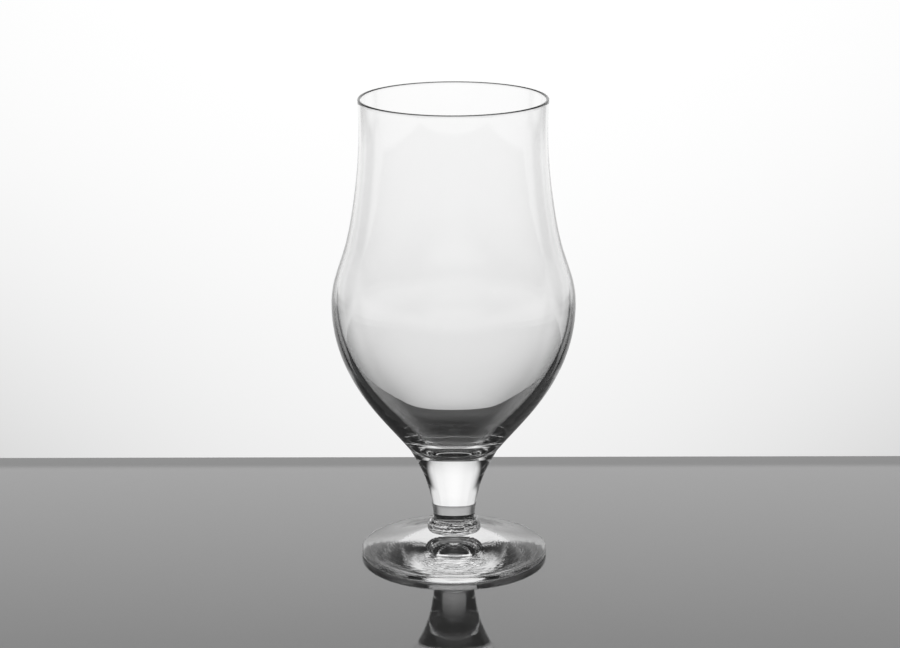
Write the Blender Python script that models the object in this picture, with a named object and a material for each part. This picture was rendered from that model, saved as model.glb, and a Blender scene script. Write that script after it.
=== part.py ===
"""A stemmed beer tulip in clear glass: a blown bowl fused to a drawn trumpet stem, a rippled weld collar
under the stem, and a pressed disc foot. Every piece is turned about the same upright axis.

Units are metres, +Z is up, and the origin is on the table under the middle of the foot.
Each piece is modelled from its own lowest seat and then stacked on the piece below it.
"""

import math

import bmesh
import bpy
import numpy as np

# Foot: a pressed disc with a low flared top, a fire-rounded edge and a shallow hollow inside its bearing ring
FOOT_RADIUS = 0.0360
FOOT_EDGE_THICKNESS = 0.0024
FOOT_EDGE_ROUND = 0.0011
FOOT_RISE = 0.0070
FOOT_FLARE = 1.28
BEARING_WIDTH = 0.0080
HOLLOW_DEPTH = 0.0014

# Collar: the wafer of glass squeezed out between stem and foot, a skirt flaring down to a tucked-in bead
COLLAR_BASE_RADIUS = 0.0101
COLLAR_BASE_SLOPE = 0.70
BEAD_RADIUS = 0.0103
BEAD_RISE = 0.0006
COLLAR_NECK_RADIUS = 0.0079
COLLAR_NECK_RISE = 0.0040
COLLAR_NECK_SLOPE = -0.75

# Stem: a solid trumpet, from its neck on the collar past its waist and its middle to its mouth under the bowl
STEM_NECK_SLOPE = 0.14
STEM_WAIST_RADIUS = 0.0082
STEM_WAIST_RISE = 0.0025
STEM_MIDDLE_RADIUS = 0.0109
STEM_MIDDLE_RISE = 0.0129
STEM_MOUTH_RISE = 0.0127
STEM_MOUTH_SLOPE = 0.60

# Bowl, outside: radius at each turn of the outline, and its rise above the turn below it
JOINT_RADIUS = 0.0173
JOINT_SAG = 0.0020
JOINT_SLOPE = 0.79
FLANK_RADIUS = 0.0315
FLANK_RISE = 0.0170
HAUNCH_RADIUS = 0.0429
HAUNCH_RISE = 0.0200
BELLY_RADIUS = 0.04655
BELLY_RISE = 0.0170
CROWN_RADIUS = 0.0459
CROWN_RISE = 0.0110
SHOULDER_RADIUS = 0.0422
SHOULDER_RISE = 0.0120
THROAT_RADIUS = 0.0379
THROAT_RISE = 0.0200
NECK_RADIUS = 0.0356
NECK_RISE = 0.0260
LIP_RADIUS = 0.0359
LIP_RISE = 0.0134
LIP_SLOPE = 0.05

# Bowl, inside: the wall thins from the joint to the lip, and the thick bottom is a rounded dish
LIP_WALL = 0.0011
BASE_WALL = 0.0050
WALL_TAPER = 2.4
BOTTOM_THICKNESS = 0.0025
DISH_RISE = 0.0086
DISH_REACH = 0.42
BOTTOM_ROUNDNESS = 0.48

# Glass: its finish, its bending of light, and how solid it looks in a plain viewport
GLASS_ROUGHNESS = 0.02
GLASS_IOR = 1.52
VIEWPORT_ALPHA = 0.35

# Fused faces stay this far apart, so that every piece is a solid of its own
FUSE_GAP = 0.0003

# Facets: steps round the axis, and points along the curves of an outline
STEPS_ROUND = 48
BOWL_POINTS = 25
CURVE_POINTS = 8
ROUND_POINTS = 6

# A rounded edge takes at most this share of the thickness on each side, and turned points closer than this merge
ROUND_LIMIT = 0.49
MERGE_DISTANCE = 0.00001


def spline(heights, radii, first_slope, last_slope):
    """Radius as a smooth function of height: the cubic spline through the given turns of an outline
    whose slope (radius over height) is set at both ends. Returns the function and its slope."""
    heights = np.array(heights)
    radii = np.array(radii)
    spans = np.diff(heights)
    secants = np.diff(radii) / spans
    count = len(heights)
    equations = np.eye(count)
    wanted = np.zeros(count)
    wanted[0] = first_slope
    wanted[-1] = last_slope
    for i in range(1, count - 1):
        equations[i, i - 1] = 1 / spans[i - 1]
        equations[i, i] = 2 / spans[i - 1] + 2 / spans[i]
        equations[i, i + 1] = 1 / spans[i]
        wanted[i] = 3 * (secants[i - 1] / spans[i - 1] + secants[i] / spans[i])
    slopes = np.linalg.solve(equations, wanted)

    def place(height):
        span = np.clip(np.searchsorted(heights, height) - 1, 0, count - 2)
        return span, (height - heights[span]) / spans[span]

    def radius(height):
        i, t = place(height)
        rise = secants[i] * spans[i]
        start = slopes[i] * spans[i]
        end = slopes[i + 1] * spans[i]
        return radii[i] + start * t + (3 * rise - 2 * start - end) * t**2 + (start + end - 2 * rise) * t**3

    def slope(height):
        i, t = place(height)
        start = slopes[i]
        end = slopes[i + 1]
        return start + 2 * (3 * secants[i] - 2 * start - end) * t + 3 * (start + end - 2 * secants[i]) * t**2

    return radius, slope


def arc(centre_radius, centre_height, size, start_degrees, end_degrees, points):
    """Points on a circle in the outline's plane, from one angle to the other, both included."""
    angles = np.radians(np.linspace(start_degrees, end_degrees, points))
    return [(centre_radius + size * math.cos(a), centre_height + size * math.sin(a)) for a in angles]


def dish(radius, rim_height, sag, points):
    """A shallow bowl-shaped face from the axis out to a rim that stands sag above its middle."""
    return [(radius * t, rim_height - sag * (1 - t * t)) for t in np.linspace(0, 1, points)]


def bezier(start, start_handle, end_handle, end, points):
    """Points on a cubic Bezier curve, both ends included."""
    t = np.linspace(0, 1, points)[:, None]
    corners = [np.array(corner) for corner in (start, start_handle, end_handle, end)]
    weights = ((1 - t) ** 3, 3 * t * (1 - t) ** 2, 3 * t * t * (1 - t), t**3)
    curve = sum(weight * corner for weight, corner in zip(weights, corners))
    return [tuple(point) for point in curve]


def glass(name, tint):
    """Clear soda-lime glass with a faint tint."""
    material = bpy.data.materials.new(name)
    material.use_nodes = True
    shader = material.node_tree.nodes["Principled BSDF"]
    shader.inputs["Base Color"].default_value = (*tint, 1)
    shader.inputs["Metallic"].default_value = 0.0
    shader.inputs["Roughness"].default_value = GLASS_ROUGHNESS
    shader.inputs["IOR"].default_value = GLASS_IOR
    shader.inputs["Transmission Weight"].default_value = 1.0
    material.diffuse_color = (*tint, VIEWPORT_ALPHA)
    return material


def turn(name, outline, seat_height, material, parent):
    """The solid turned from an outline that starts and ends on the axis and runs down its outer side."""
    mesh = bpy.data.meshes.new(name)
    bm = bmesh.new()
    corners = [bm.verts.new((max(radius, 0.0), 0.0, height)) for radius, height in outline]
    for above, below in zip(corners, corners[1:]):
        bm.edges.new((above, below))
    bm.to_mesh(mesh)
    bm.free()
    mesh.materials.append(material)
    piece = bpy.data.objects.new(name, mesh)
    bpy.context.scene.collection.objects.link(piece)
    screw = piece.modifiers.new("turned", "SCREW")
    screw.axis = "Z"
    screw.angle = 2 * math.pi
    screw.steps = STEPS_ROUND
    screw.render_steps = STEPS_ROUND
    screw.use_merge_vertices = True
    screw.merge_threshold = MERGE_DISTANCE
    screw.use_smooth_shade = True
    piece.location = (0, 0, seat_height)
    piece.parent = parent
    return piece


def foot_outline():
    """From the boss under the collar, out over the flare, round the edge, in along the bearing ring
    and up the hollow to the axis."""
    edge_round = min(FOOT_EDGE_ROUND, ROUND_LIMIT * FOOT_EDGE_THICKNESS)
    edge_start = FOOT_RADIUS - edge_round
    boss_height = FOOT_EDGE_THICKNESS + FOOT_RISE
    outline = [(0, boss_height)]
    for t in np.linspace(0, 1, CURVE_POINTS):
        radius = COLLAR_BASE_RADIUS + t * (edge_start - COLLAR_BASE_RADIUS)
        outline.append((radius, FOOT_EDGE_THICKNESS + FOOT_RISE * (1 - t) ** FOOT_FLARE))
    outline += arc(edge_start, FOOT_EDGE_THICKNESS - edge_round, edge_round, 90, 0, ROUND_POINTS)[1:]
    outline += arc(edge_start, edge_round, edge_round, 0, -90, ROUND_POINTS)
    hollow_radius = edge_start - BEARING_WIDTH
    for t in np.linspace(1, 0, CURVE_POINTS):
        outline.append((hollow_radius * t, HOLLOW_DEPTH * (1 - t * t) ** 2))
    return outline


def side(heights, radii, first_slope, last_slope, points):
    """A piece's outer side from its top turn down to its lowest one, on the spline through its turns."""
    radius, _ = spline(heights, radii, first_slope, last_slope)
    return [(float(radius(height)), height) for height in np.linspace(heights[-1], heights[0], points)]


def collar_outline():
    """From the stem's neck down the flared skirt and round the bead to the foot's boss."""
    heights = np.cumsum((0, BEAD_RISE, COLLAR_NECK_RISE))
    radii = (COLLAR_BASE_RADIUS, BEAD_RADIUS, COLLAR_NECK_RADIUS)
    skirt = side(heights, radii, COLLAR_BASE_SLOPE, COLLAR_NECK_SLOPE, 2 * CURVE_POINTS)
    return [(0, heights[-1])] + skirt + [(0, 0)]


def stem_outline():
    """The trumpet: a cupped mouth that takes the bowl's round bottom, then down past the waist to the neck."""
    heights = np.cumsum((0, STEM_WAIST_RISE, STEM_MIDDLE_RISE, STEM_MOUTH_RISE))
    radii = (COLLAR_NECK_RADIUS, STEM_WAIST_RADIUS, STEM_MIDDLE_RADIUS, JOINT_RADIUS)
    trumpet = side(heights, radii, STEM_NECK_SLOPE, STEM_MOUTH_SLOPE, 2 * CURVE_POINTS)
    mouth = dish(JOINT_RADIUS, heights[-1], JOINT_SAG, CURVE_POINTS)
    return mouth + trumpet[1:] + [(0, 0)]


def bowl_outline():
    """From the middle of the inside bottom, up the inner wall, over the lip, down the outer wall and
    under the round bottom to the axis. Heights are measured from the joint with the stem."""
    rises = (FLANK_RISE, HAUNCH_RISE, BELLY_RISE, CROWN_RISE, SHOULDER_RISE, THROAT_RISE, NECK_RISE, LIP_RISE)
    heights = np.concatenate([[0], np.cumsum(rises)])
    radii = (
        JOINT_RADIUS,
        FLANK_RADIUS,
        HAUNCH_RADIUS,
        BELLY_RADIUS,
        CROWN_RADIUS,
        SHOULDER_RADIUS,
        THROAT_RADIUS,
        NECK_RADIUS,
        LIP_RADIUS,
    )
    radius, slope = spline(heights, radii, JOINT_SLOPE, LIP_SLOPE)
    lip_height = heights[-1]
    levels = np.linspace(lip_height, 0, BOWL_POINTS)
    outer = [(float(radius(level)), level) for level in levels]

    def inner_point(level):
        """The point one wall thickness in from the outer wall, square to it."""
        wall = LIP_WALL + (BASE_WALL - LIP_WALL) * (1 - level / lip_height) ** WALL_TAPER
        lean = float(slope(level))
        run = wall / math.hypot(1, lean)
        return float(radius(level)) - run, level + run * lean

    inner = np.array([inner_point(level) for level in np.linspace(DISH_RISE, lip_height, BOWL_POINTS)])
    middle = np.array((0, BOTTOM_THICKNESS - JOINT_SAG))
    dish_edge = inner[0]
    heading = (inner[1] - inner[0]) / np.linalg.norm(inner[1] - inner[0])
    reach = DISH_REACH * np.linalg.norm(dish_edge - middle)
    bottom = bezier(
        middle,
        middle + (BOTTOM_ROUNDNESS * dish_edge[0], 0),
        dish_edge - reach * heading,
        dish_edge,
        CURVE_POINTS,
    )
    lip_middle = LIP_RADIUS - LIP_WALL / 2
    lip = arc(lip_middle, inner[-1][1], LIP_WALL / 2, 180, 0, ROUND_POINTS)
    under = dish(JOINT_RADIUS, 0, JOINT_SAG, CURVE_POINTS)
    return bottom[:-1] + inner[:-1].tolist() + lip + outer[1:] + under[-2::-1]


for leftover in list(bpy.data.objects):
    bpy.data.objects.remove(leftover)

tulip_glass = bpy.data.objects.new("tulip_glass", None)
bpy.context.scene.collection.objects.link(tulip_glass)

collar_seat = FOOT_EDGE_THICKNESS + FOOT_RISE + FUSE_GAP
stem_seat = collar_seat + BEAD_RISE + COLLAR_NECK_RISE + FUSE_GAP
bowl_seat = stem_seat + STEM_WAIST_RISE + STEM_MIDDLE_RISE + STEM_MOUTH_RISE + FUSE_GAP

turn("foot", foot_outline(), 0, glass("pressed_glass", (0.95, 0.96, 0.96)), tulip_glass)
turn("stem_collar", collar_outline(), collar_seat, glass("weld_glass", (0.94, 0.95, 0.95)), tulip_glass)
turn("stem", stem_outline(), stem_seat, glass("drawn_glass", (0.96, 0.97, 0.97)), tulip_glass)
turn("bowl", bowl_outline(), bowl_seat, glass("blown_glass", (0.97, 0.98, 0.98)), tulip_glass)
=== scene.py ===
import math

import bpy
import numpy as np
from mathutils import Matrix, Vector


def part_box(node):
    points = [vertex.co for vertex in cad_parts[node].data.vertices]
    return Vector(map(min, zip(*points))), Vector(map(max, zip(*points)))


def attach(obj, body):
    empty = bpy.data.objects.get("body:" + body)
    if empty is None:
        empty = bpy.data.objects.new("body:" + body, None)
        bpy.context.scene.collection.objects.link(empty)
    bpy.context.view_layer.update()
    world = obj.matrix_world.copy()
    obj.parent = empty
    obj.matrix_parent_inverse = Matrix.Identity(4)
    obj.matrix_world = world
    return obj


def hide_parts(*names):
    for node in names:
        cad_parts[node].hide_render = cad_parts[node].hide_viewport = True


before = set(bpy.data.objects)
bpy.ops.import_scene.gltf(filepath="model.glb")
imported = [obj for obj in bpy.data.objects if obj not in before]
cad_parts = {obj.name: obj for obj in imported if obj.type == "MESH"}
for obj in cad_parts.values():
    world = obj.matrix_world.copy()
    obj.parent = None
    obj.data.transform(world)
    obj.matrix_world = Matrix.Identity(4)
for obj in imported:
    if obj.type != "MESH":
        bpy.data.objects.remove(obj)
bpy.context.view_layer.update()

# Foot: the pressed glass disc that the tulip stands on, with a low flared top, a shallow hollow underneath
# and an edge rounded by the flame. The cooling press has left fine rings on its top, uneven all round.
FOOT_RADIUS = 0.0360
FOOT_EDGE_THICKNESS = 0.0026
FOOT_EDGE_ROUND = 0.0007
FOOT_FLARE = 1.28
FOOT_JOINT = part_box("stem_collar")[0][2]
COLLAR_BASE_RADIUS = 0.0101
BEARING_WIDTH = 0.0080
HOLLOW_DEPTH = 0.0014
RING_PITCH = 0.0010
RING_HEIGHT = 0.000011
RING_MARGIN = 0.002
RING_EDGE_RISE = 0.00025
RING_WAVER = 0.25
RING_SLIDE = 0.35
RING_SEED = 0.7
BEAT_LEVEL = 0.6
BEAT_DEPTH = 0.4
BEAT_TURN = 0.83
BEAT_WAVER = 0.5
BEAT_SLIDE = 0.2
BEAT_SEED = 2.1
COMB_WAVES = 89
COMB_HEIGHT = 0.0000015
COMB_WAVER = 2.0
COMB_SLIDE = 0.15
COMB_SEED = 1.7
SWELL_PITCH = 0.0027
SWELL_HEIGHT = 0.00001
SWELL_START = 0.021
SWELL_END = 0.028
SWELL_SLIDE = 0.2
SWELL_SEED = 2.9
UNEVEN_WAVES = (2, 3, 5, 8, 13, 21, 34)
UNEVEN_SLIDE = 1.7
UNEVEN_SLIDE_STEP = 0.9
UNEVEN_SHIFT = 1.3
UNEVEN_FALL = 1.5
FOOT_STEPS = 320
FLARE_POINTS = 190
EDGE_POINTS = 12
HOLLOW_POINTS = 60
JOINT_POINTS = 6
GLASS_IOR = 1.52
GLASS_TINT = (1, 1, 1, 1)
WAVE_DETAIL = 1.0
SMEAR_WAVES = 90.0
SMEAR_DETAIL = 3.0
SMEAR_START = 0.5
SMEAR_FULL = 0.75
PRESSED_WAVE_SIZE = 0.012
PRESSED_WAVE_HEIGHT = 0.000004
PRESSED_SMEAR = 0.012


def wire(tree, node, socket, value):
    """Links the value to one of a node's inputs, or sets the input where the value is a plain number."""
    if isinstance(value, bpy.types.NodeSocket):
        tree.links.new(value, node.inputs[socket])
    else:
        node.inputs[socket].default_value = value


def reckon(tree, operation, a, b=0.0, clamp=False):
    """One step of arithmetic on two values."""
    node = tree.nodes.new("ShaderNodeMath")
    node.operation = operation
    node.use_clamp = clamp
    wire(tree, node, 0, a)
    wire(tree, node, 1, b)
    return node.outputs[0]


def rise(tree, value, low, high):
    """0 below low, 1 above high, with a smooth step between. low may be the higher of the two: a fall."""
    node = tree.nodes.new("ShaderNodeMapRange")
    node.interpolation_type = "SMOOTHSTEP"
    wire(tree, node, "Value", value)
    node.inputs["From Min"].default_value = low
    node.inputs["From Max"].default_value = high
    return node.outputs["Result"]


def noise(tree, place, scale, detail):
    """Cloudy noise at a place, with scale waves per metre and as many finer layers as detail says."""
    node = tree.nodes.new("ShaderNodeTexNoise")
    tree.links.new(place, node.inputs["Vector"])
    wire(tree, node, "Scale", scale)
    node.inputs["Detail"].default_value = detail
    return node.outputs["Fac"]


def surface_traces():
    """The node group that every glass surface shares: one noise of the given wave size is its height, and
    where a second noise passes from SMEAR_START to SMEAR_FULL the roughness rises from 0 to Smear."""
    group = bpy.data.node_groups.new("glass_surface", "ShaderNodeTree")
    for name in ("Wave Size", "Smear"):
        group.interface.new_socket(name, in_out="INPUT", socket_type="NodeSocketFloat")
    for name in ("Height", "Roughness"):
        group.interface.new_socket(name, in_out="OUTPUT", socket_type="NodeSocketFloat")
    given = group.nodes.new("NodeGroupInput")
    result = group.nodes.new("NodeGroupOutput")
    place = group.nodes.new("ShaderNodeTexCoord").outputs["Object"]
    waves = reckon(group, "DIVIDE", 1.0, given.outputs["Wave Size"])
    wire(group, result, "Height", noise(group, place, waves, WAVE_DETAIL))
    wiped = rise(group, noise(group, place, SMEAR_WAVES, SMEAR_DETAIL), SMEAR_START, SMEAR_FULL)
    wire(group, result, "Roughness", reckon(group, "MULTIPLY", wiped, given.outputs["Smear"]))
    return group


glass_surface = surface_traces()


def clear_glass(name, wave_size, wave_height, smear):
    """Clear soda-lime glass: its surface swells and sinks by wave_height over each wave_size, and traces of
    wiping dull it here and there, up to the roughness smear."""
    material = bpy.data.materials.new(name)
    material.use_nodes = True
    tree = material.node_tree
    shader = tree.nodes["Principled BSDF"]
    shader.inputs["Base Color"].default_value = GLASS_TINT
    shader.inputs["IOR"].default_value = GLASS_IOR
    shader.inputs["Transmission Weight"].default_value = 1.0
    surface = tree.nodes.new("ShaderNodeGroup")
    surface.node_tree = glass_surface
    surface.inputs["Wave Size"].default_value = wave_size
    surface.inputs["Smear"].default_value = smear
    bump = tree.nodes.new("ShaderNodeBump")
    bump.inputs["Strength"].default_value = 1.0
    bump.inputs["Distance"].default_value = wave_height
    tree.links.new(surface.outputs["Height"], bump.inputs["Height"])
    tree.links.new(bump.outputs["Normal"], shader.inputs["Normal"])
    tree.links.new(surface.outputs["Roughness"], shader.inputs["Roughness"])
    return material


fused = bpy.data.materials.new("fused_face")
fused.use_nodes = True
fused.node_tree.nodes["Principled BSDF"].inputs["Alpha"].default_value = 0.0


def arc(centre, size, start_degrees, end_degrees, points):
    """Points on a circle in the profile's plane, from one angle to the other, both included."""
    angles = np.radians(np.linspace(start_degrees, end_degrees, points))
    return np.column_stack([centre[0] + size * np.cos(angles), centre[1] + size * np.sin(angles)])


def fused_face(radius, height, sag, points):
    """A fused face from the axis out to a ring: a paraboloid whose middle lies sag below its rim."""
    t = np.linspace(0, 1, points)
    return np.column_stack([radius * t, height - sag * (1 - t * t)])


def joints(profile, top_points, bottom_points):
    """The bands of faces at the two ends of a profile that belong to its fused faces, given their points."""
    top = np.arange(max(top_points - 1, 0))
    bottom = np.arange(len(profile) - bottom_points, len(profile) - 1)
    return np.concatenate([top, bottom])


def smooth(value, low, high):
    """0 below low, 1 above high, and an S-shaped rise (3 t squared minus 2 t cubed) between them."""
    t = np.clip((value - low) / (high - low), 0, 1)
    return t * t * (3 - 2 * t)


def uneven(turn, along, seed):
    """A wavering value round the axis, mostly between -2 and 2: sines of the turn with whole numbers of
    waves, each weaker than the one before and sliding faster with the position along the profile."""
    total = 0.0
    for i, waves in enumerate(UNEVEN_WAVES):
        slide = along * (UNEVEN_SLIDE + UNEVEN_SLIDE_STEP * i)
        shift = seed * (i + UNEVEN_SHIFT)
        total = total + np.sin(waves * turn + slide + shift) / math.sqrt(i + UNEVEN_FALL)
    return total


def break_shading(mesh, is_joint):
    """Marks as sharp each edge with one fused face and one free face, so the free side is shaded alone."""
    loop_edge = np.empty(len(mesh.loops), np.int32)
    mesh.loops.foreach_get("edge_index", loop_edge)
    corners = np.empty(len(mesh.polygons), np.int32)
    mesh.polygons.foreach_get("loop_total", corners)
    joint_sides = np.zeros(len(mesh.edges))
    np.add.at(joint_sides, loop_edge, np.repeat(is_joint, corners))
    sharp = mesh.attributes.new("sharp_edge", "BOOLEAN", "EDGE")
    sharp.data.foreach_set("value", joint_sides == 1)


def turned(name, profile, steps, joint_rows, material, ripple=None):
    """The closed surface of a profile carried round the z axis: row i, step j lies at the profile's radius
    and height i, turned by 2 pi j / steps. The profile starts on the axis on the piece's top face and ends
    on it underneath. ripple gives how far each point of the grid is pushed outwards, square to the profile.
    The bands of faces in joint_rows are fused to the next piece, so they let the light straight on."""
    turn = np.linspace(0, 2 * math.pi, steps, endpoint=False)
    rows = len(profile) - 2
    radius = np.repeat(profile[1:-1, :1], steps, axis=1)
    height = np.repeat(profile[1:-1, 1:], steps, axis=1)
    if ripple is not None:
        along = np.gradient(profile, axis=0)[1:-1]
        along /= np.linalg.norm(along, axis=1)[:, None]
        push = ripple(radius, height, turn[None, :])
        radius, height = radius - along[:, 1:] * push, height + along[:, :1] * push
    ring_points = np.stack([radius * np.cos(turn), radius * np.sin(turn), height], axis=2).reshape(-1, 3)
    points = np.vstack([ring_points, [0, 0, profile[0, 1]], [0, 0, profile[-1, 1]]])
    row, step = np.meshgrid(np.arange(rows - 1) * steps, np.arange(steps), indexing="ij")
    after = (step + 1) % steps
    next_row = row + steps
    quads = np.stack([row + step, next_row + step, next_row + after, row + after], axis=2).reshape(-1, 4)
    step, after = step[0], after[0]
    last = (rows - 1) * steps
    top = np.stack([np.full(steps, rows * steps), step, after], axis=1)
    bottom = np.stack([np.full(steps, rows * steps + 1), last + after, last + step], axis=1)
    mesh = bpy.data.meshes.new(name)
    mesh.from_pydata(points.tolist(), [], top.tolist() + quads.tolist() + bottom.tolist())
    face_row = np.concatenate([np.zeros(steps), quads[:, 0] // steps + 1, np.full(steps, rows)])
    is_joint = np.isin(face_row, joint_rows)
    mesh.materials.append(material)
    mesh.materials.append(fused)
    mesh.polygons.foreach_set("material_index", is_joint.astype(np.int32))
    mesh.polygons.foreach_set("use_smooth", np.ones(len(face_row), bool))
    mesh.update()
    break_shading(mesh, is_joint)
    piece = bpy.data.objects.new(name, mesh)
    bpy.context.scene.collection.objects.link(piece)
    return piece


def foot_profile():
    """From the axis out over the fused boss, down the flare (edge thickness plus rise times (1 - t) to the
    power of the flare), round the edge, in along the bearing ring and up the hollow (depth times
    (1 - t squared) squared) to the axis."""
    edge_start = FOOT_RADIUS - FOOT_EDGE_ROUND
    boss = fused_face(COLLAR_BASE_RADIUS, FOOT_JOINT, 0, JOINT_POINTS)
    t = np.linspace(0, 1, FLARE_POINTS)
    radius = COLLAR_BASE_RADIUS + t * (edge_start - COLLAR_BASE_RADIUS)
    height = FOOT_EDGE_THICKNESS + (FOOT_JOINT - FOOT_EDGE_THICKNESS) * (1 - t) ** FOOT_FLARE
    flare = np.column_stack([radius, height])
    upper_centre = (edge_start, FOOT_EDGE_THICKNESS - FOOT_EDGE_ROUND)
    upper_edge = arc(upper_centre, FOOT_EDGE_ROUND, 90, 0, EDGE_POINTS)
    lower_edge = arc((edge_start, FOOT_EDGE_ROUND), FOOT_EDGE_ROUND, 0, -90, EDGE_POINTS)
    t = np.linspace(1, 0, HOLLOW_POINTS)
    hollow = np.column_stack([(edge_start - BEARING_WIDTH) * t, HOLLOW_DEPTH * (1 - t * t) ** 2])
    profile = np.vstack([boss, flare[1:], upper_edge[1:], lower_edge, hollow])
    return profile, joints(profile, len(boss), 0)


def press_rings(radius, height, turn):
    """Rings on the flare: a sine of the radius whose phase wavers round the foot and whose strength beats
    from ring to ring, a fine comb of waves round the axis that slides with the radius, and broader swells
    near the edge."""
    ring = radius / RING_PITCH
    on_top = smooth(height, FOOT_EDGE_THICKNESS, FOOT_EDGE_THICKNESS + RING_EDGE_RISE)
    on_top = on_top * smooth(radius, COLLAR_BASE_RADIUS, COLLAR_BASE_RADIUS + RING_MARGIN)
    beat = np.sin(BEAT_TURN * ring + BEAT_WAVER * uneven(turn, BEAT_SLIDE * ring, BEAT_SEED))
    strength = BEAT_LEVEL + BEAT_DEPTH * beat
    waver = RING_WAVER * uneven(turn, RING_SLIDE * ring, RING_SEED)
    rings = RING_HEIGHT * strength * np.sin(2 * math.pi * ring + waver)
    comb = COMB_HEIGHT * np.sin(COMB_WAVES * turn + COMB_WAVER * uneven(turn, COMB_SLIDE * ring, COMB_SEED))
    waver = RING_WAVER * uneven(turn, SWELL_SLIDE * ring, SWELL_SEED)
    swell = SWELL_HEIGHT * smooth(radius, SWELL_START, SWELL_END)
    swell = swell * np.sin(2 * math.pi * radius / SWELL_PITCH + waver)
    return on_top * (rings + comb + swell)


profile, joint_rows = foot_profile()
pressed_glass = clear_glass("pressed_glass", PRESSED_WAVE_SIZE, PRESSED_WAVE_HEIGHT, PRESSED_SMEAR)
foot = turned("pressed_foot", profile, FOOT_STEPS, joint_rows, pressed_glass, press_rings)
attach(foot, "root")
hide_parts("foot")

# Collar: the wafer of hot glass that welds the stem to the foot. The tool that squeezed it has left a flared
# skirt of uneven ridges over a bead that tucks in to the foot.
COLLAR_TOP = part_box("stem")[0][2]
COLLAR_NECK_RADIUS = 0.0079
COLLAR_NECK_SLOPE = -0.75
COLLAR_BASE_SLOPE = 0.70
BEAD_RADIUS = 0.0103
BEAD_RISE = 0.0006
RIDGE_PITCH = 0.0015
RIDGE_HEIGHT = 0.0002
RIDGE_WAVER = 0.35
RIDGE_SLIDE = 0.9
RIDGE_SEED = 1.1
RIDGE_MARGIN = 0.0006
RIDGE_MIDDLE = 0.5
RIDGE_LEVEL = 0.7
RIDGE_BEAT = 0.3
RIDGE_BEATS_ROUND = 3
RIDGE_BEAT_TURN = 1.3
STEPS_ROUND = 192
SKIRT_POINTS = 130
WELD_WAVE_SIZE = 0.004
WELD_WAVE_HEIGHT = 0.000004
WELD_SMEAR = 0.012


def spline(heights, radii, first_slope, last_slope):
    """The cubic spline through the turns of an outline, radius over height, with its slope set at both ends.
    Returns a function of height that gives the radius and the slope there."""
    heights = np.array(heights)
    radii = np.array(radii)
    spans = np.diff(heights)
    rises = np.diff(radii)
    count = len(heights)
    equations = np.eye(count)
    wanted = np.zeros(count)
    wanted[0] = first_slope
    wanted[-1] = last_slope
    for i in range(1, count - 1):
        equations[i, i - 1] = 1 / spans[i - 1]
        equations[i, i] = 2 / spans[i - 1] + 2 / spans[i]
        equations[i, i + 1] = 1 / spans[i]
        wanted[i] = 3 * (rises[i - 1] / spans[i - 1] ** 2 + rises[i] / spans[i] ** 2)
    slopes = np.linalg.solve(equations, wanted)

    def at(height):
        i = np.clip(np.searchsorted(heights, height) - 1, 0, count - 2)
        t = (height - heights[i]) / spans[i]
        start = slopes[i] * spans[i]
        end = slopes[i + 1] * spans[i]
        bend = 3 * rises[i] - 2 * start - end
        twist = start + end - 2 * rises[i]
        radius = radii[i] + start * t + bend * t**2 + twist * t**3
        slope = (start + 2 * bend * t + 3 * twist * t**2) / spans[i]
        return radius, slope

    return at


def collar_profile():
    """From the axis out over the face fused to the stem, down the skirt and the bead on a spline through
    neck, bead and base, and in over the face fused to the foot."""
    at = spline(
        (FOOT_JOINT, FOOT_JOINT + BEAD_RISE, COLLAR_TOP),
        (COLLAR_BASE_RADIUS, BEAD_RADIUS, COLLAR_NECK_RADIUS),
        COLLAR_BASE_SLOPE,
        COLLAR_NECK_SLOPE,
    )
    heights = np.linspace(COLLAR_TOP, FOOT_JOINT, SKIRT_POINTS)
    skirt = np.column_stack([at(heights)[0], heights])
    cap = fused_face(COLLAR_NECK_RADIUS, COLLAR_TOP, 0, JOINT_POINTS)
    base = fused_face(COLLAR_BASE_RADIUS, FOOT_JOINT, 0, JOINT_POINTS)[::-1]
    profile = np.vstack([cap, skirt[1:], base[1:]])
    return profile, joints(profile, len(cap), len(base))


def tool_ridges(radius, height, turn):
    """Round ridges parted by sharp grooves: the size of a sine of the height, whose phase and strength waver
    round the collar. They die away at the two welds."""
    ridge = height / RIDGE_PITCH
    free = smooth(height, FOOT_JOINT, FOOT_JOINT + RIDGE_MARGIN)
    free = free * smooth(-height, -COLLAR_TOP, -COLLAR_TOP + RIDGE_MARGIN)
    strength = RIDGE_LEVEL + RIDGE_BEAT * np.sin(RIDGE_BEATS_ROUND * turn + RIDGE_BEAT_TURN * ridge)
    waver = RIDGE_WAVER * uneven(turn, RIDGE_SLIDE * ridge, RIDGE_SEED)
    crest = np.abs(np.sin(math.pi * ridge + waver))
    return RIDGE_HEIGHT * free * strength * (crest - RIDGE_MIDDLE)


profile, joint_rows = collar_profile()
weld_glass = clear_glass("weld_glass", WELD_WAVE_SIZE, WELD_WAVE_HEIGHT, WELD_SMEAR)
collar = turned("weld_collar", profile, STEPS_ROUND, joint_rows, weld_glass, tool_ridges)
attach(collar, "root")
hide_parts("stem_collar")

# Stem: a solid trumpet of glass drawn out by hand, narrow where it stands on the collar and opening into a
# cupped mouth that is fused to the round bottom of the bowl.
JOINT_RADIUS = 0.0173
JOINT_SAG = 0.0020
BOWL_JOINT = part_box("bowl")[0][2] + JOINT_SAG
STEM_NECK_SLOPE = 0.14
STEM_WAIST_RADIUS = 0.0082
STEM_WAIST_RISE = 0.0025
STEM_MIDDLE_RADIUS = 0.0109
STEM_MIDDLE_RISE = 0.0129
STEM_MOUTH_SLOPE = 0.60
TRUMPET_POINTS = 110
MOUTH_POINTS = 20
DRAWN_WAVE_SIZE = 0.010
DRAWN_WAVE_HEIGHT = 0.000003
DRAWN_SMEAR = 0.008


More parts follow.
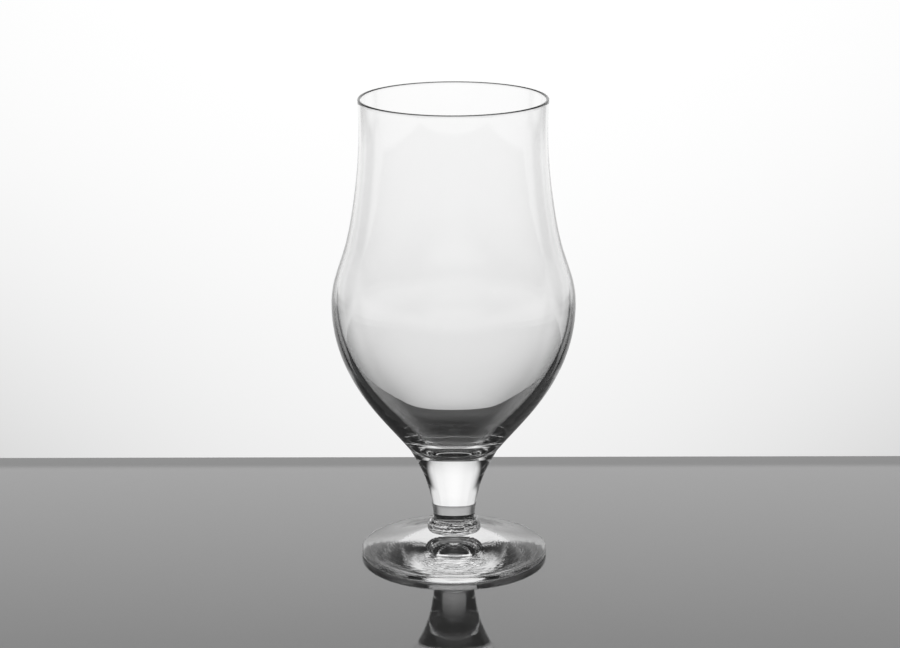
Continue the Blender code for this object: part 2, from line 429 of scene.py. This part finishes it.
def stem_profile():
    """From the axis out over the cupped mouth, down the trumpet on a spline through mouth, middle, waist and
    neck, and in over the face fused to the collar."""
    waist = COLLAR_TOP + STEM_WAIST_RISE
    at = spline(
        (COLLAR_TOP, waist, waist + STEM_MIDDLE_RISE, BOWL_JOINT),
        (COLLAR_NECK_RADIUS, STEM_WAIST_RADIUS, STEM_MIDDLE_RADIUS, JOINT_RADIUS),
        STEM_NECK_SLOPE,
        STEM_MOUTH_SLOPE,
    )
    heights = np.linspace(BOWL_JOINT, COLLAR_TOP, TRUMPET_POINTS)
    trumpet = np.column_stack([at(heights)[0], heights])
    mouth = fused_face(JOINT_RADIUS, BOWL_JOINT, JOINT_SAG, MOUTH_POINTS)
    base = fused_face(COLLAR_NECK_RADIUS, COLLAR_TOP, 0, JOINT_POINTS)[::-1]
    profile = np.vstack([mouth, trumpet[1:], base[1:]])
    return profile, joints(profile, len(mouth), len(base))


profile, joint_rows = stem_profile()
drawn_glass = clear_glass("drawn_glass", DRAWN_WAVE_SIZE, DRAWN_WAVE_HEIGHT, DRAWN_SMEAR)
stem = turned("drawn_stem", profile, STEPS_ROUND, joint_rows, drawn_glass)
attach(stem, "root")
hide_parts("stem")

# Bowl: the tulip, blown in a mould. Its wall is thick at the bottom, thins steadily up the belly and the
# neck, and ends in a lip rounded by the flame. The mould's chill has left the inside of the bottom faintly
# uneven. Each turn of its outline is a radius and the rise to it from the turn before.
BOWL_TURNS = (
    (0.0173, 0.0000),
    (0.0315, 0.0170),
    (0.0429, 0.0200),
    (0.04655, 0.0170),
    (0.0459, 0.0110),
    (0.0422, 0.0120),
    (0.0379, 0.0200),
    (0.0356, 0.0260),
    (0.0359, 0.0134),
)
JOINT_SLOPE = 0.79
LIP_SLOPE = 0.05
LIP_WALL = 0.0011
BASE_WALL = 0.0049
WALL_TAPER = 2.4
BOTTOM_THICKNESS = 0.0025
DISH_RISE = 0.0086
DISH_REACH = 0.42
BOTTOM_ROUNDNESS = 0.48
DISH_POINTS = 90
INSIDE_POINTS = 120
LIP_POINTS = 13
OUTSIDE_POINTS = 150
CHILL_HEIGHT = 0.000006
CHILL_PITCH = 0.002
CHILL_REPEATS = 2
CHILL_SEED = 0.4
CHILL_TOP = 0.075
CHILL_FADE = 0.020
CHILL_FOOT = 0.052
CHILL_START = 0.058
BLOWN_WAVE_SIZE = 0.020
BLOWN_WAVE_HEIGHT = 0.000004
BLOWN_SMEAR = 0.006


def bezier(start, start_handle, end_handle, end, points):
    """Points on a cubic Bezier curve, both ends included."""
    t = np.linspace(0, 1, points)[:, None]
    ends = (1 - t) ** 3 * np.array(start) + t**3 * np.array(end)
    return ends + 3 * t * (1 - t) ** 2 * np.array(start_handle) + 3 * t * t * (1 - t) * np.array(end_handle)


def bowl_profile():
    """From the middle of the inside bottom out over a Bezier dish, up the inner wall (the outer wall set in,
    square to itself, by a thickness that falls from base to lip as a power of the height left), over the
    round lip, down the outer wall on its spline, and in under the bottom."""
    radii, rises = np.array(BOWL_TURNS).T
    levels = np.cumsum(rises)
    lip_level = levels[-1]
    at = spline(levels, radii, JOINT_SLOPE, LIP_SLOPE)
    level = np.linspace(DISH_RISE, lip_level, INSIDE_POINTS)
    radius, lean = at(level)
    wall = LIP_WALL + (BASE_WALL - LIP_WALL) * (1 - level / lip_level) ** WALL_TAPER
    run = wall / np.hypot(1, lean)
    inside = np.column_stack([radius - run, level + run * lean])
    middle = np.array((0, BOTTOM_THICKNESS - JOINT_SAG))
    heading = (inside[1] - inside[0]) / np.linalg.norm(inside[1] - inside[0])
    reach = DISH_REACH * np.linalg.norm(inside[0] - middle)
    near_middle = middle + (BOTTOM_ROUNDNESS * inside[0, 0], 0)
    dish = bezier(middle, near_middle, inside[0] - reach * heading, inside[0], DISH_POINTS)
    lip = arc((radii[-1] - LIP_WALL / 2, inside[-1, 1]), LIP_WALL / 2, 180, 0, LIP_POINTS)
    level = np.linspace(lip_level, 0, OUTSIDE_POINTS)
    outside = np.column_stack([at(level)[0], level])
    under = fused_face(JOINT_RADIUS, 0, JOINT_SAG, MOUTH_POINTS)[::-1]
    profile = np.vstack([dish[:-1], inside[:-1], lip, outside[1:], under[1:]])
    return profile + (0, BOWL_JOINT), joints(profile, 0, len(under)), len(dish) + len(inside)


def chill_marks(radius, height, turn):
    """Shallow dimples on the inside of the bottom: the uneven waves, sliding with the height, fading out up
    the belly and at the middle of the dish."""
    inside = np.arange(len(radius))[:, None] < inside_rows
    fade = smooth(-height, -CHILL_TOP, CHILL_FADE - CHILL_TOP) * smooth(height, CHILL_FOOT, CHILL_START)
    return CHILL_HEIGHT * inside * fade * uneven(CHILL_REPEATS * turn, height / CHILL_PITCH, CHILL_SEED)


profile, joint_rows, inside_rows = bowl_profile()
blown_glass = clear_glass("blown_glass", BLOWN_WAVE_SIZE, BLOWN_WAVE_HEIGHT, BLOWN_SMEAR)
bowl = turned("blown_bowl", profile, STEPS_ROUND, joint_rows, blown_glass, chill_marks)
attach(bowl, "root")
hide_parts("bowl")

# Table: a grey polished board that the glass stands on. It mirrors more the flatter it is looked along, and
# the strip along its far edge is duller.
TABLE_BACK = 0.118
TABLE_FRONT = -0.45
TABLE_HALF_WIDTH = 0.45
TABLE_TOP = -0.0001
TABLE_THICKNESS = 0.020
TABLE_FACES = ((1, 5, 7, 3), (0, 2, 6, 4), (0, 4, 5, 1), (4, 6, 7, 5), (6, 2, 3, 7), (2, 0, 1, 3))
TABLE_SHINE = 2.07
TABLE_FADE = 4.0
TABLE_MOST = 0.525
TABLE_ROUGHNESS = 0.02
TABLE_GREY = (0.35, 0.35, 0.35, 1)
EVEN_BLEND = 0.5
STRIP_DEPTH = 0.013
STRIP_SHINE = 0.70
STRIP_EDGE = 0.004
GRAIN_WAVES = 1100.0
GRAIN_DETAIL = 2.0
GRAIN_MIDDLE = 0.5
GRAIN_DEPTH = 0.10


def polished_board():
    """A grey ground under a mirror. The mirror's share is the facing value (0 head on, 1 edge on) to the
    power TABLE_FADE, times TABLE_SHINE, at most TABLE_MOST, less on the strip and varied by a fine grain."""
    material = bpy.data.materials.new("polished_board")
    material.use_nodes = True
    tree = material.node_tree
    tree.nodes.clear()
    output = tree.nodes.new("ShaderNodeOutputMaterial")
    board = tree.nodes.new("ShaderNodeMixShader")
    mirror = tree.nodes.new("ShaderNodeBsdfGlossy")
    mirror.inputs["Roughness"].default_value = TABLE_ROUGHNESS
    ground = tree.nodes.new("ShaderNodeBsdfDiffuse")
    ground.inputs["Color"].default_value = TABLE_GREY
    facing = tree.nodes.new("ShaderNodeLayerWeight")
    facing.inputs["Blend"].default_value = EVEN_BLEND
    place = tree.nodes.new("ShaderNodeTexCoord").outputs["Object"]
    split = tree.nodes.new("ShaderNodeSeparateXYZ")
    tree.links.new(place, split.inputs[0])
    strip_start = TABLE_BACK - STRIP_DEPTH
    strip = rise(tree, split.outputs["Y"], strip_start - STRIP_EDGE, strip_start + STRIP_EDGE)
    dulling = reckon(tree, "SUBTRACT", 1.0, reckon(tree, "MULTIPLY", strip, 1.0 - STRIP_SHINE))
    grain = reckon(tree, "SUBTRACT", noise(tree, place, GRAIN_WAVES, GRAIN_DETAIL), GRAIN_MIDDLE)
    grain = reckon(tree, "MULTIPLY", grain, GRAIN_DEPTH)
    dulling = reckon(tree, "MULTIPLY", dulling, reckon(tree, "ADD", 1.0, grain))
    shine = reckon(tree, "POWER", facing.outputs["Facing"], TABLE_FADE)
    shine = reckon(tree, "MINIMUM", reckon(tree, "MULTIPLY", shine, TABLE_SHINE), TABLE_MOST)
    tree.links.new(reckon(tree, "MULTIPLY", shine, dulling, clamp=True), board.inputs[0])
    tree.links.new(ground.outputs[0], board.inputs[1])
    tree.links.new(mirror.outputs[0], board.inputs[2])
    tree.links.new(board.outputs[0], output.inputs["Surface"])
    return material


# The board's eight corners count up through z, then y, then x.
table_mesh = bpy.data.meshes.new("table_top")
x, y, z = np.meshgrid(
    (-TABLE_HALF_WIDTH, TABLE_HALF_WIDTH),
    (TABLE_FRONT, TABLE_BACK),
    (TABLE_TOP - TABLE_THICKNESS, TABLE_TOP),
    indexing="ij",
)
corners = np.stack([x, y, z], axis=-1).reshape(-1, 3)
table_mesh.from_pydata(corners.tolist(), [], TABLE_FACES)
table_mesh.materials.append(polished_board())
table = bpy.data.objects.new("table_top", table_mesh)
bpy.context.scene.collection.objects.link(table)

# Backdrop: a pale wall with a soft pool of light straight behind the glass, a little dimmer low down and
# aside. Dimmer flanks stand beside the pool, and dimmer fills yet lie further round, under the table's level
# and behind the camera. The room is dark elsewhere, which draws the dark edges. Places are in degrees.
WALL_LEVEL = 1.05
WALL_RISE = (-9.0, -4.0)
WALL_FALL = (35.0, 25.0)
DIM_START = -8.4
DIM_SPAN = 9.7
DIM_DEPTH = 0.13
DIM_POWER = 1.6
SIDE_SPAN = 9.5
SIDE_POWER = 2.0
SIDE_MOST = 2.0
SIDE_DEPTH = 0.035
SIDE_DEPTH_BELOW = 0.12
SIDE_DEPTH_POWER = 2.0
POOL_HALF = 29.5
POOL_EDGE = 30.0
POOL_TOP = 32.0
POOL_TOP_EDGE = 5.0
POOL_FOOT = 18.0
POOL_FOOT_SCALE = 10.0
POOL_FOOT_EDGE = 2.0
BESIDE = (25.0, 28.0)
LOW_DOWN = (11.0, 0.0)
NEAR_LEVEL = 0.85
NEAR_SIDE = (72.0, 48.0)
NEAR_FLOOR = (-14.0, -10.0)
FLANK_LEVEL = 0.88
FLANK_SIDE = (52.0, 28.0)
FLANK_TOP = (35.0, 22.0)
FLANK_FLOOR = (-9.0, -4.0)
UNDER_LEVEL = 0.6
UNDER_START = (28.0, 60.0)
UNDER_END = (80.0, 65.0)
UNDER_TOP = (-10.0, -14.0)
FAR_LEVEL = 0.6
FAR_START = (60.0, 75.0)
BEHIND_START = (130.0, 172.0)
BEHIND_TOP = (18.0, 9.0)
GLOW_LEVEL = 0.15
GLOW_START = (-24.0, -32.0)
GLOW_FLOOR = (-30.0, -16.0)
GLOW_TOP = (20.0, 6.0)
ROOM_LEVEL = 0.02


def product(tree, *values):
    """The values multiplied together."""
    total = values[0]
    for value in values[1:]:
        total = reckon(tree, "MULTIPLY", total, value)
    return total


def brightest(tree, *levels):
    """The highest of the levels."""
    best = levels[0]
    for level in levels[1:]:
        best = reckon(tree, "MAXIMUM", best, level)
    return best


def beyond(tree, value, start, scale, power):
    """1 up to start, then 1 over (1 plus the distance past it, in scales, to a power)."""
    past = reckon(tree, "MAXIMUM", reckon(tree, "SUBTRACT", value, start), 0.0)
    past = reckon(tree, "POWER", reckon(tree, "DIVIDE", past, scale), power)
    return reckon(tree, "DIVIDE", 1.0, reckon(tree, "ADD", 1.0, past))


studio = bpy.data.worlds.new("studio")
bpy.context.scene.world = studio
studio.use_nodes = True
tree = studio.node_tree
tree.nodes.clear()
output = tree.nodes.new("ShaderNodeOutputWorld")
background = tree.nodes.new("ShaderNodeBackground")
tree.links.new(background.outputs[0], output.inputs["Surface"])
split = tree.nodes.new("ShaderNodeSeparateXYZ")
tree.links.new(tree.nodes.new("ShaderNodeTexCoord").outputs["Generated"], split.inputs[0])
elevation = reckon(tree, "DEGREES", reckon(tree, "ARCSINE", split.outputs["Z"]))
azimuth = reckon(tree, "DEGREES", reckon(tree, "ARCTAN2", split.outputs["X"], split.outputs["Y"]))
aside = reckon(tree, "ABSOLUTE", azimuth)
below = reckon(tree, "MULTIPLY", elevation, -1.0)

dim = reckon(tree, "DIVIDE", reckon(tree, "SUBTRACT", DIM_START, elevation), DIM_SPAN, clamp=True)
dimming = reckon(tree, "MULTIPLY", DIM_DEPTH, reckon(tree, "POWER", dim, DIM_POWER))
centre = reckon(tree, "SUBTRACT", 1.0, dimming)
across = reckon(tree, "POWER", reckon(tree, "DIVIDE", aside, SIDE_SPAN), SIDE_POWER)
across = reckon(tree, "MINIMUM", across, SIDE_MOST)
side_depth = reckon(tree, "MULTIPLY", SIDE_DEPTH_BELOW, reckon(tree, "POWER", dim, SIDE_DEPTH_POWER))
side_depth = reckon(tree, "ADD", SIDE_DEPTH, side_depth)
wall = reckon(tree, "SUBTRACT", centre, reckon(tree, "MULTIPLY", across, side_depth))
extra = product(tree, rise(tree, elevation, *WALL_RISE), rise(tree, elevation, *WALL_FALL), WALL_LEVEL - 1.0)
pool = product(
    tree,
    wall,
    reckon(tree, "ADD", 1.0, extra),
    beyond(tree, aside, 0.0, POOL_HALF, POOL_EDGE),
    beyond(tree, elevation, 0.0, POOL_TOP, POOL_TOP_EDGE),
    beyond(tree, below, POOL_FOOT, POOL_FOOT_SCALE, POOL_FOOT_EDGE),
)
beside = rise(tree, aside, *BESIDE)
low_down = rise(tree, elevation, *LOW_DOWN)
near = product(
    tree,
    beside,
    NEAR_LEVEL,
    rise(tree, aside, *NEAR_SIDE),
    rise(tree, elevation, *NEAR_FLOOR),
    low_down,
)
flank = product(
    tree,
    beside,
    FLANK_LEVEL,
    rise(tree, aside, *FLANK_SIDE),
    rise(tree, elevation, *FLANK_FLOOR),
    rise(tree, elevation, *FLANK_TOP),
)
under = product(
    tree,
    rise(tree, aside, *UNDER_START),
    UNDER_LEVEL,
    rise(tree, aside, *UNDER_END),
    rise(tree, elevation, *UNDER_TOP),
)
behind = product(tree, rise(tree, aside, *BEHIND_START), rise(tree, elevation, *BEHIND_TOP))
far = product(tree, rise(tree, aside, *FAR_START), FAR_LEVEL, brightest(tree, low_down, behind))
glow = product(
    tree,
    rise(tree, azimuth, *GLOW_START),
    GLOW_LEVEL,
    rise(tree, elevation, *GLOW_FLOOR),
    rise(tree, elevation, *GLOW_TOP),
)
lit = brightest(tree, pool, near, flank, under, far, glow)
tree.links.new(reckon(tree, "ADD", lit, ROOM_LEVEL), background.inputs["Color"])

# Camera: about a metre off, looking down on the glass by 15 degrees, as the photograph does. Light takes
# many turns inside thick glass, so its paths may be long.
CAMERA_PLACE = (-0.0008, -0.9616, 0.35567)
CAMERA_PITCH = 15.316
CAMERA_ROLL = 0.13
CAMERA_LENS = 104.186
CAMERA_SENSOR = 36.0
LONGEST_PATH = 48
MIRROR_TURNS = 32
GLASS_TURNS = 32
JOINT_TURNS = 64
camera_data = bpy.data.cameras.new("camera")
camera_data.lens = CAMERA_LENS
camera_data.sensor_width = CAMERA_SENSOR
camera = bpy.data.objects.new("camera", camera_data)
bpy.context.scene.collection.objects.link(camera)
camera.location = CAMERA_PLACE
camera.rotation_euler = (math.radians(90 - CAMERA_PITCH), math.radians(CAMERA_ROLL), 0)
bpy.context.scene.camera = camera
bpy.context.scene.view_settings.view_transform = "Standard"
light_paths = bpy.context.scene.cycles
light_paths.max_bounces = LONGEST_PATH
light_paths.glossy_bounces = MIRROR_TURNS
light_paths.transmission_bounces = GLASS_TURNS
light_paths.transparent_max_bounces = JOINT_TURNS
